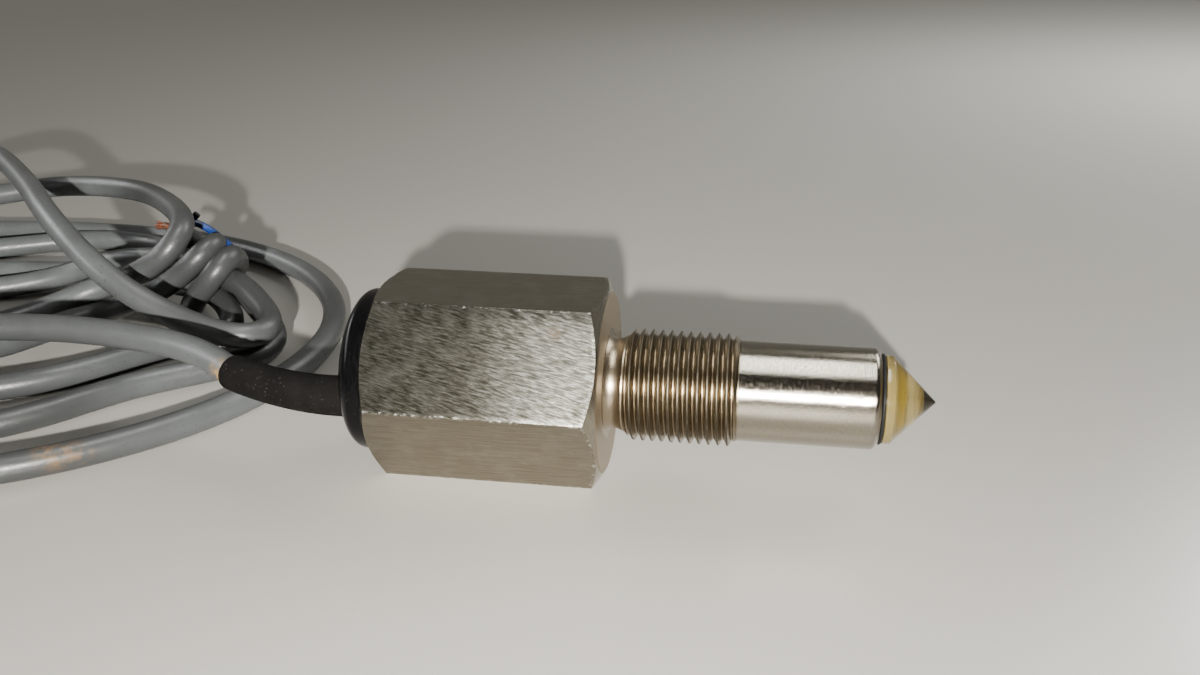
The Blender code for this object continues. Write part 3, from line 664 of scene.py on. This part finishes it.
def makeThread(size):
  # One V groove profile from the root to the crest, pulled round in a helix, then trimmed by the
  # turned outline that it starts and runs out in
    root = size["threadRadius"] - 0.6134 * size["pitch"]
    flank = (size["threadRadius"] - root) * math.tan(math.radians(30))
    crest = size["pitch"] / 8
    rootFlat = size["pitch"] - crest - 2 * flank
    turns = int(math.ceil(size["threadEnd"] / size["pitch"])) + 2
    start = -size["pitch"]
    outline = [(start, 0.0), (start, root)]
    for turn in range(turns):
        x = start + turn * size["pitch"]
        outline += [(x + rootFlat * 0.15, root), (x + rootFlat * 0.85, root), (x + rootFlat, root + 0.06),
                    (x + rootFlat + flank * 0.93, size["threadRadius"] - 0.03),
                    (x + rootFlat + flank + 0.03, size["threadRadius"]),
                    (x + rootFlat + flank + crest - 0.03, size["threadRadius"]),
                    (x + rootFlat + flank * 1.07 + crest, size["threadRadius"] - 0.03),
                    (x + size["pitch"] - 0.03, root + 0.04)]
    outline += [(start + turns * size["pitch"], root), (start + turns * size["pitch"], 0.0)]
    nothingSelected()
    bpy.ops.mesh.primitive_plane_add(size=mm)
    thread = bpy.context.object
    thread.name = "threadRidge"
    bpy.ops.object.mode_set(mode="EDIT")
    bpy.ops.mesh.select_mode(type="VERT")
    bpy.ops.mesh.select_all(action="SELECT")
    bpy.ops.mesh.merge(type="CENTER")
    bpy.ops.transform.translate(value=((shoulderX + outline[0][0]) * mm, 0, 0))
    for (x, radius), (nextX, nextRadius) in zip(outline, outline[1:]):
        bpy.ops.mesh.extrude_region_move(
            TRANSFORM_OT_translate={"value": ((nextX - x) * mm, 0, (nextRadius - radius) * mm)})
    bpy.ops.object.mode_set(mode="OBJECT")
    applyModifier(thread, "SCREW", axis="X", angle=fullTurn, screw_offset=size["pitch"] * mm,
                  steps=96, render_steps=96, use_merge_vertices=False)
    thread.location.z = axisHeight * mm
    bpy.ops.object.transform_apply(location=True, rotation=True, scale=True)
    bpy.ops.object.mode_set(mode="EDIT")
    bpy.ops.mesh.select_mode(type="VERT")
    bpy.ops.mesh.select_all(action="SELECT")
    bpy.ops.mesh.remove_doubles(threshold=0.001 * mm)
    bpy.ops.mesh.fill_holes(sides=0)
    endEdit()
    spare = 0.2
    inner = root - spare
    outer = size["threadRadius"] + spare
    envelope = turnPiece("threadOutline", fromShoulder(
        (size["neckLength"] - spare, size["neckRadius"]), (size["neckLength"] + size["neckRamp"], outer),
        (size["threadEnd"] - (outer - inner), outer), (size["threadEnd"] + 0.07, inner - 0.1)), around=150)
    combine(thread, envelope, "INTERSECT")
    return thread


def boreBody(body, size):
    bore = turnPiece("bore", fromShoulder(
        (-size["hexLength"] - 1, size["rearBore"]), (size["floorAt"], size["rearBore"]),
        (size["floorAt"], size["frontBore"]), (size["barrelLength"] + 1, size["frontBore"])), around=96)
    combine(body, bore)


steelBody = makeHexagon(bodySteel)
combine(steelBody, makeNeckAndBarrel(bodySteel), "UNION")
combine(steelBody, makeThread(bodySteel), "UNION")
boreBody(steelBody, bodySteel)
smoothShade(steelBody, 24)
print("steel body: %d faces" % len(steelBody.data.polygons))


def drawnBarSteel(size):
  # The flats: lengthwise grain, and coarse slanting marks on the one that faces up and front,
  # which is darker at its two ends. This darkening is painted shade, and the lighter marks towards the
  # thread are a painted highlight
    steel = Finish("drawnBarSteel", (0.43, 0.40, 0.335), 0.26, metal=1.0)
    flat = steel.unrolled()
    grain = steel.noise(1, 4, 0.65, steel.stretched((6.0, 0.22, 4), vector=flat))
    marks = steel.noise(1, 6, 0.68, steel.stretched((1.9, 0.26, 4), turn=-12, vector=flat))
    # Share of the lit copy of the marks: painted highlight towards the thread, painted shade of the dark
    # copy towards the rear end
    paintedHighlightShare = steel.inside(steel.along, shoulderX - 14, shoulderX + 16, 6)
    marked = steel.inside(steel.angle, 0, math.radians(60))
    plain = steel.ramp(grain, (0.28, (0.155, 0.136, 0.102)), (0.5, (0.207, 0.186, 0.145)),
                       (0.75, (0.265, 0.243, 0.197)))
    # A shaded and a lit copy of the same marks: painted shade and painted highlight
    paintedShadeMarks = steel.ramp(marks, (0.38, (0.022, 0.021, 0.016)), (0.46, (0.058, 0.055, 0.043)),
                      (0.54, (0.105, 0.102, 0.084)), (0.66, (0.24, 0.235, 0.205)))
    paintedHighlightMarks = steel.ramp(marks, (0.38, (0.05, 0.048, 0.04)), (0.47, (0.145, 0.14, 0.118)),
                       (0.55, (0.29, 0.284, 0.252)), (0.64, (0.66, 0.65, 0.60)))
    colour = steel.mix(marked, plain, steel.mix(paintedHighlightShare, paintedShadeMarks, paintedHighlightMarks))
    blotches = steel.ramp(steel.noise(4.5, 4, 0.6), (0.48, 0.0), (0.72, 0.12))
    colour = steel.mix(blotches, colour, (0.58, 0.56, 0.50))
    stain = steel.ramp(steel.noise(0.5, 3), (0.3, 0.2), (0.65, 0.75))
    colour = steel.mix(steel.sum("MULTIPLY", steel.spot((-11.0, -10.3, 27.1), 1.0, 0.8), stain), colour,
                       (0.20, 0.145, 0.10))
  # The long edges and the thread-side chamfer's edge are rubbed bright in nicks
    corner = steel.sum("ABSOLUTE", steel.sum("SINE", steel.sum("MULTIPLY", steel.angle, 3)))
    nicks = steel.ramp(steel.noise(0.7, 5, 0.75), (0.52, 0.0), (0.64, 0.8))
    rubbed = steel.sum("MULTIPLY", steel.inside(corner, -1, 0.045, 0.02), nicks)
    slope = math.tan(math.radians(size["chamfer"]))
    burr = steel.sum("ADD", steel.along, steel.sum("MULTIPLY", steel.out, slope))
    burrAt = shoulderX + (acrossFlats / 2 - size["hexFaceInset"]) * slope
    burred = steel.sum("MULTIPLY", steel.inside(burr, burrAt - 0.45, burrAt + 1, 0.2), nicks)
    colour = steel.mix(steel.sum("MAXIMUM", rubbed, burred), colour, (0.80, 0.79, 0.74))
    height = steel.mix(marked, grain, marks)
    steel.wear(**{"Base Color": colour, "Roughness": steel.ramp(height, (0.3, 0.36), (0.7, 0.26))})
    steel.bump(height, 0.035)
    return steel


def turnedSteel(size):  # rings from the tool, short scratches round the barrel, brown dirt and painted shade in the thread
    steel = Finish("turnedSteel", (0.60, 0.58, 0.53), 0.12, metal=1.0)
    flat = steel.unrolled()
    rings = steel.noise(1, 3, 0.6, steel.stretched((0.12, 60, 0.12), vector=flat))
    streaks = steel.noise(1, 5, 0.7, steel.stretched((0.26, 1.5, 1), vector=flat))
    colour = steel.ramp(streaks, (0.3, (0.28, 0.252, 0.207)), (0.6, (0.365, 0.337, 0.285)))
    start = shoulderX + size["neckLength"] + 0.5
    threaded = steel.inside(steel.along, start, shoulderX + size["threadEnd"], 0.05)
    necked = steel.inside(steel.along, shoulderX - 0.2, start, 0.05)
    root = size["threadRadius"] - 0.92
    depth = steel.sum("DIVIDE", steel.sum("SUBTRACT", steel.out, root), size["threadRadius"] - root)
    # Brown dirt over the thread, and painted shade that darkens its roots and its crests
    flank = steel.ramp(depth, (0.0, (0.155, 0.122, 0.077)), (0.35, (0.28, 0.235, 0.165)),
                       (0.78, (0.25, 0.21, 0.155)), (0.9, (0.085, 0.071, 0.05)))
    colour = steel.mix(threaded, colour, flank)
    colour = steel.mix(necked, colour, (0.32, 0.265, 0.19))
    dulled = steel.ramp(steel.noise(2.5, 4, 0.6), (0.5, 0.0), (0.72, 0.4))
    colour = steel.mix(dulled, colour, (0.33, 0.285, 0.215))
    rough = steel.ramp(streaks, (0.35, 0.22), (0.6, 0.06))
    worn = steel.ramp(depth, (0.85, 0.27), (0.95, 0.42))
    rough = steel.mix(steel.sum("MAXIMUM", threaded, necked), rough, worn)
    steel.wear(**{"Base Color": colour, "Roughness": rough})
    steel.bump(steel.mix(0.75, rings, streaks), 0.05)
    return steel


dress(steelBody, drawnBarSteel(bodySteel))
steelBody.data.materials.append(turnedSteel(bodySteel).material)
pick(steelBody)
bpy.ops.object.mode_set(mode="EDIT")
bpy.ops.mesh.select_mode(type="FACE")
flatNormals = [Vector((0, math.cos(math.radians(a)), math.sin(math.radians(a)))) for a in range(30, 390, 60)]
selectFaces(steelBody, lambda middle, normal: middle.x > shoulderX + 0.001
            or max(normal.dot(flat) for flat in flatNormals) < 0.8
            or Vector((0, middle.y, middle.z - axisHeight)).length < acrossFlats / 2 - 1)
steelBody.active_material_index = 1
bpy.ops.object.material_slot_assign()
bpy.ops.object.mode_set(mode="OBJECT")
keepPiece(steelBody, "housing")


# Amber prism tip with its stem, and the black ring that seals it

tipSizes = {
    "sealFrom": 42.6, "sealThick": 0.5, "sealRadius": 7.15, "sealHole": 5.9,
    "collarFrom": 43.2, "collarRadius": 6.95, "collarLength": 1.35,
    "edge": 0.15, "apexRadius": 0.3, "stemRadius": 5.8, "stemLength": 7.7, "darkFrom": 4.6,
}


def makePrismTip(size):
    base = size["collarFrom"]
    top = base + size["collarLength"]
    radius = size["collarRadius"]
    apexAt = top + radius - size["edge"]
    bend = size["apexRadius"]
    ballMiddle = apexAt - bend * math.sqrt(2)
    stations = [(base - size["stemLength"], size["stemRadius"] - 0.15),
                (base - size["stemLength"] + 0.15, size["stemRadius"]), (base, size["stemRadius"]),
                (base, radius - 0.08), (base + 0.08, radius), (top - size["edge"] * 1.2, radius)]
    stations += arcStations(top - size["edge"] * 1.2, radius - size["edge"], size["edge"], 90, 45, 4)[1:]
    stations += [(ballMiddle + bend * math.cos(math.radians(a)), bend * math.sin(math.radians(a)))
                 for a in (45, 35, 25, 15, 7)]
    return turnPiece("prismTip", fromShoulder(*stations), around=128)


def makeTipSeal(size):
    start, end, radius = size["sealFrom"], size["sealFrom"] + size["sealThick"], size["sealRadius"]
    edge, hole = size["edge"], size["sealHole"]
    ring = turnPiece("tipSeal", fromShoulder((start, radius - edge), (start + 0.06, radius - 0.04),
                                             (start + edge, radius), (end - edge, radius),
                                             (end - 0.06, radius - 0.04), (end, radius - edge)), around=128)
    combine(ring, turnPiece("sealHole", fromShoulder((start - 1, hole), (end + 1, hole)), around=96))
    return ring


def amberPlastic(size):  # clear and tinted, cloudier in its collar, dark at the very point
    amber = Finish("amberPlastic", (0.93, 0.74, 0.28), 0.07)
    amber.unrolled()
    top = shoulderX + size["collarFrom"] + size["collarLength"]
    cloudy = amber.noise(1.5, 3)
    reach = amber.sum("DIVIDE", amber.sum("SUBTRACT", amber.along, top), size["collarRadius"])
    # Painted reflections along the cone: olive and pale bands stand in for what its faces reflect and bend,
    # with a painted yellow highlight
    paintedReflectionBands = amber.ramp(reach, (0.02, (0.40, 0.30, 0.07)), (0.17, (0.72, 0.50, 0.05)),
                       (0.24, (0.36, 0.27, 0.06)), (0.33, (0.82, 0.68, 0.30)),
                       (0.50, (0.74, 0.60, 0.24)), (0.60, (0.26, 0.20, 0.06)))
    colour = amber.mix(amber.ramp(cloudy, (0.35, 0.0), (0.7, 0.15)), paintedReflectionBands, (0.85, 0.72, 0.36))
    collar = amber.inside(amber.along, shoulderX, top + 0.1, 0.3)
    colour = amber.mix(collar, colour, (0.27, 0.21, 0.075))
    point = amber.inside(amber.along, top + size["darkFrom"], 99, 0.06)
    colour = amber.mix(point, colour, (0.012, 0.010, 0.006))
    clear = amber.mix(collar, (0.85, 0.85, 0.85), (0.5, 0.5, 0.5))
    clear = amber.mix(point, clear, (0.2, 0.2, 0.2))
    amber.wear(**{"Base Color": colour, "Transmission Weight": clear, "IOR": 1.55,
                  "Roughness": amber.ramp(amber.noise(0.6, 4, 0.6), (0.3, 0.04), (0.7, 0.12))})
    amber.bump(amber.noise(0.4, 2), 0.004)
    return amber


def blackRubber(name, colour, rough, grain, dust):
    rubber = Finish(name, colour, rough)
    specks = rubber.ramp(rubber.noise(grain * 1.5, 2, 0.5), (0.66, 0.0), (0.74, dust))
    shade = rubber.mix(rubber.ramp(rubber.noise(grain * 12, 4, 0.6), (0.4, 0.0), (0.7, 0.6)), colour,
                       tuple(value * 1.9 for value in colour))
    patchy = rubber.ramp(rubber.noise(grain, 3), (0.3, rough - 0.08), (0.7, rough + 0.08))
    rubber.wear(**{"Base Color": rubber.mix(specks, shade, (0.16, 0.15, 0.13)), "Roughness": patchy,
                   "Specular IOR Level": 0.06})
    rubber.bump(rubber.noise(grain, 4, 0.6), grain * 0.12)
    return rubber


prismTip = makePrismTip(tipSizes)
smoothShade(prismTip)
dress(prismTip, amberPlastic(tipSizes))
keepPiece(prismTip, "prism_tip")
tipSeal = makeTipSeal(tipSizes)
smoothShade(tipSeal)
dress(tipSeal, blackRubber("sealRubber", (0.010, 0.010, 0.010), 0.42, 0.15, 0.2))
keepPiece(tipSeal, "tip_seal")
print("tip and seal made")


# Black rear plug, domed, with the cable's hole off its middle

plugSizes = {
    "face": -37.5, "rimRadius": 13.3, "rimLength": 1.9, "domeHeight": 3.9, "domePower": 0.9,
    "spigotLength": 6.3, "spigotRadius": 12.3,
    "grooveAt": 3.6, "grooveHalf": 0.75, "grooveDepth": 1.1,
    "holeSide": -4.2, "holeDrop": 3.6, "holeRadius": 3.55, "cableRadius": 2.6, "socketDepth": 7.0,
    "boardSlot": (4.6, 20.4, 1.6), "slotDrop": 0.95,
}


def makeRearPlug(size):
    face = size["face"]
    front = face + size["spigotLength"]
    groove = front - size["grooveAt"]
    rimEnd = face - size["rimLength"]
    deep = size["spigotRadius"] - size["grooveDepth"]
    stations = [(front, size["spigotRadius"] - 0.2), (front - 0.2, size["spigotRadius"]),
                (groove + size["grooveHalf"], size["spigotRadius"]), (groove + size["grooveHalf"], deep),
                (groove - size["grooveHalf"], deep), (groove - size["grooveHalf"], size["spigotRadius"]),
                (face, size["spigotRadius"]), (face, size["rimRadius"] - 0.12),
                (face - 0.12, size["rimRadius"]), (rimEnd, size["rimRadius"])]
    count = 22
    for i in range(1, count):
        angle = math.pi / 2 * i / count
        stations.append((rimEnd - size["domeHeight"] * math.sin(angle) ** size["domePower"],
                         size["rimRadius"] * math.cos(angle)))
    back = rimEnd - size["domeHeight"]
    stations.append((back, 0.3))
    plug = turnPiece("rearPlug", fromShoulder(*stations), around=128)
    socket = back + size["socketDepth"]
    steps = fromShoulder((front + 1, size["cableRadius"]), (socket, size["cableRadius"]),
                         (socket, size["holeRadius"]), (back - 3, size["holeRadius"]))
    combine(plug, turnPiece("cableHole", steps, around=64, side=size["holeSide"],
                            height=axisHeight - size["holeDrop"]))
    nothingSelected()
    slotMiddle = ((shoulderX + front) * mm, 0, (axisHeight - size["slotDrop"]) * mm)
    bpy.ops.mesh.primitive_cube_add(size=mm, location=slotMiddle, scale=size["boardSlot"])
    bpy.ops.object.transform_apply(location=True, rotation=True, scale=True)
    slotCutter = bpy.context.object
    slotCutter.name = "boardSlot"
    combine(plug, slotCutter)
    return plug


def plugPlastic():  # glossy moulded black with fine rubs and dust
    plastic = Finish("plugPlastic", (0.004, 0.004, 0.0045), 0.2)
    rubs = plastic.noise(1, 4, 0.7, plastic.stretched((0.3, 2.0, 2.0), turn=20))
    dust = plastic.ramp(plastic.noise(0.3, 2, 0.5), (0.70, 0.0), (0.76, 0.2))
    shade = plastic.ramp(rubs, (0.4, (0.0015, 0.0015, 0.0017)), (0.75, (0.0035, 0.0035, 0.004)))
    plastic.wear(**{"Base Color": plastic.mix(dust, shade, (0.09, 0.085, 0.08)),
                    "Roughness": plastic.ramp(rubs, (0.35, 0.17), (0.65, 0.26)), "Specular IOR Level": 0.16})
    plastic.bump(plastic.noise(0.9, 3, 0.5), 0.01)
    return plastic


rearPlug = makeRearPlug(plugSizes)
smoothShade(rearPlug)
dress(rearPlug, plugPlastic())
keepPiece(rearPlug, "rear_plug")
print("plug made")


# Shrunk sleeve round the cable where it leaves the plug

sleeveSizes = {
    "startRadius": 3.45, "endRadius": 3.05, "wall": 0.4, "spacing": 0.8,
    "length": 23.9,  # outside the plug
    "inPlug": (6.8, 4.4, 2.2),  # rings inside it, as far from its face
}


def makeSleeve(size, line):
    route = [np.array(cable["exit"]) + (inside, 0, 0) for inside in size["inPlug"]]
    route += list(pointsAt(line, np.arange(0, size["length"], size["spacing"])))
    tube = drawTube("cableSleeve", route, size["startRadius"], sides=14, capped=False)
    for i, point in enumerate(tube.data.splines[0].points):
        share = i / (len(route) - 1)
        point.radius = 1 + (size["endRadius"] / size["startRadius"] - 1) * share
    pick(tube)
    bpy.ops.object.convert(target="MESH")
    sleeve = bpy.context.object
    applyModifier(sleeve, "SOLIDIFY", thickness=size["wall"] * mm, offset=-1)
    return sleeve


sleeve = makeSleeve(sleeveSizes, jacketLine)
smoothShade(sleeve, 50)
dress(sleeve, blackRubber("sleeveRubber", (0.005, 0.0047, 0.0042), 0.8, 0.3, 0.25))
keepPiece(sleeve, "cable_sleeve")
print("sleeve made")


# Finishes of the CAD pieces that sit inside

innerLooks = {
    "holderPlastic": {"nodes": ["optics_holder"], "colour": (0.012, 0.012, 0.013), "rough": 0.45},
    "emitterEpoxy": {"nodes": ["infrared_emitter"], "colour": (0.80, 0.84, 0.90), "rough": 0.08,
                     "clear": 0.9},
    "smokedEpoxy": {"nodes": ["phototransistor"], "colour": (0.05, 0.03, 0.045), "rough": 0.10,
                    "clear": 0.5},
    "boardLaminate": {"nodes": ["circuit_board"], "colour": (0.018, 0.115, 0.045), "rough": 0.34,
                      "weave": 0.8},
    "chipPlastic": {"nodes": ["amplifier_chip", "voltage_regulator", "output_transistor", "protection_diode",
                              "resistor_1", "resistor_2", "resistor_3", "resistor_4"],
                    "colour": (0.018, 0.018, 0.020), "rough": 0.5},
    "tantalumYellow": {"nodes": ["filter_capacitor"], "colour": (0.62, 0.36, 0.05), "rough": 0.45},
    "chipCeramic": {"nodes": ["capacitor_1", "capacitor_2", "capacitor_3"], "colour": (0.42, 0.30, 0.18),
                    "rough": 0.5},
    "plugSealRubber": {"nodes": ["plug_seal"], "colour": (0.010, 0.010, 0.010), "rough": 0.5},
}
for core, colour in coreColours.items():
    innerLooks[core + "Core"] = {"nodes": ["core_" + core], "colour": colour, "rough": 0.4}


def innerFinish(name, look):
    finish = Finish(name, look["colour"], look["rough"])
    shade = finish.ramp(finish.noise(1.8, 4, 0.6), (0.38, 0.0), (0.7, 0.7))
    grain = finish.noise(0.2, 3, 0.6)
    if "weave" in look:  # glass cloth under the green lacquer
        lines = [finish.sum("SINE", finish.sum("MULTIPLY", axis, fullTurn / look["weave"]))
                 for axis in crossAxes(finish)]
        grain = finish.sum("ADD", grain, finish.sum("MULTIPLY", finish.sum("MULTIPLY", *lines), 0.5))
    darker = tuple(value * 0.65 for value in look["colour"])
    finish.wear(**{"Base Color": finish.mix(shade, look["colour"], darker),
                   "Roughness": finish.ramp(grain, (0.3, look["rough"] * 0.8), (0.7, look["rough"] * 1.2)),
                   "Transmission Weight": look.get("clear", 0.0)})
    finish.bump(grain, 0.01)
    return finish


def crossAxes(finish):  # the two directions in the board's plane
    parts = finish.tree.nodes.new("ShaderNodeSeparateXYZ")
    finish.set(parts, 0, finish.place)
    return parts.outputs[0], parts.outputs[1]


def dressNodes(finish, nodes):
    for name in nodes:
        for slot in frame["nodes"][name].material_slots:
            slot.material = finish.material


for name, look in innerLooks.items():
    dressNodes(innerFinish(name, look), look["nodes"])
dressNodes(metalFinish("anchorBrass", (0.72, 0.55, 0.27), 0.3, (0.45, 0.30, 0.13)), ["cable_anchor"])
dressNodes(metalFinish("conductorCopper", (0.80, 0.40, 0.26), 0.3, (0.5, 0.22, 0.12)),
           ["conductor_brown", "conductor_blue", "conductor_black"])
print("inner pieces dressed")


# Floor, light and surroundings

studio = {
    "floorSize": 6.0,
    "floorMiddle": (0, 1.5, 0),
    "floorColour": (0.52, 0.508, 0.475),
    "darkerFrom": 1568.0,  # mm in front of the floor's middle, from where the floor is darker
    "darkerColour": (0.25, 0.24, 0.215),
    "frontAir": (0.055, 0.052, 0.045),  # what the metal mirrors: a dim room in front, pale walls behind
    "backAir": (0.235, 0.23, 0.205),
}
lamps = {  # all in metres; a lamp that isn't diffuse only shines in what is glossy
    "frontLamp": {"place": (0.036, -0.32, 0.108), "aim": (-0.02, 0.15, 0.01), "size": (0.007, 0.007),
                  "power": 1.55, "spread": 100, "colour": (1.0, 0.96, 0.90), "diffuse": True},
    "overheadPanel": {"place": (0.05, -0.025, 0.60), "aim": (0.05, 0, 0), "size": (0.14, 0.41),
                      "power": 2.3, "spread": 180, "colour": (1.0, 1.0, 0.98), "diffuse": False},
    "backPanel": {"place": (0.50, 0.60, 0.55), "aim": (0.35, 0.40, 0), "size": (0.5, 0.5),
                  "power": 1.9, "spread": 100, "colour": (1.0, 0.99, 0.96), "diffuse": True},
    "windowGlow": {"place": (0.34, 0.44, 0.30), "aim": (0.30, 0.38, 0), "size": (0.12, 0.12),
                   "power": 0.65, "spread": 110, "colour": (1.0, 1.0, 0.98), "diffuse": True},
    "sidePanel": {"place": (-0.75, -0.02, 0.36), "aim": (-0.09, 0.02, 0.01), "size": (0.9, 0.2),
                  "power": 3.6, "spread": 180, "colour": (0.97, 0.99, 1.0), "diffuse": False},
}


def makeFloor():
    nothingSelected()
    bpy.ops.mesh.primitive_plane_add(size=studio["floorSize"], location=studio["floorMiddle"])
    floor = bpy.context.object
    floor.name = "paleFloor"
    paint = Finish("paleFloorPaint", studio["floorColour"], 0.22)
    paint.unrolled()
    farFront = paint.inside(paint.across, studio["darkerFrom"], 9999, 0.5)
    paint.wear(**{"Base Color": paint.mix(farFront, studio["floorColour"], studio["darkerColour"])})
    floor.data.materials.append(paint.material)


def softLight(name, settings):
    nothingSelected()
    place = Vector(settings["place"])
    bpy.ops.object.light_add(type="AREA", location=place)
    lamp = bpy.context.object
    lamp.name = name
    lamp.rotation_euler = (Vector(settings["aim"]) - place).to_track_quat("-Z", "Y").to_euler()
    lamp.data.shape = "RECTANGLE"
    lamp.data.size, lamp.data.size_y = settings["size"]
    lamp.data.energy = settings["power"]
    lamp.data.color = settings["colour"]
    lamp.data.spread = math.radians(settings["spread"])
    lamp.visible_camera = False
    lamp.visible_diffuse = settings["diffuse"]


def makeAir():
    world = bpy.data.worlds.new("studioAir")
    bpy.context.scene.world = world
    world.use_nodes = True
    nodes, links = world.node_tree.nodes, world.node_tree.links
    ramp = nodes.new("ShaderNodeValToRGB")
    parts = nodes.new("ShaderNodeSeparateXYZ")
    place = nodes.new("ShaderNodeTexCoord")
    links.new(place.outputs["Generated"], parts.inputs[0])
    links.new(parts.outputs["Y"], ramp.inputs["Fac"])
    links.new(ramp.outputs["Color"], nodes["Background"].inputs["Color"])
    ramp.color_ramp.elements[0].color = (*studio["frontAir"], 1)
    ramp.color_ramp.elements[1].color = (*studio["backAir"], 1)
    ramp.color_ramp.elements[1].position = 0.5


makeFloor()
for name, settings in lamps.items():
    softLight(name, settings)
makeAir()
print("studio lit")
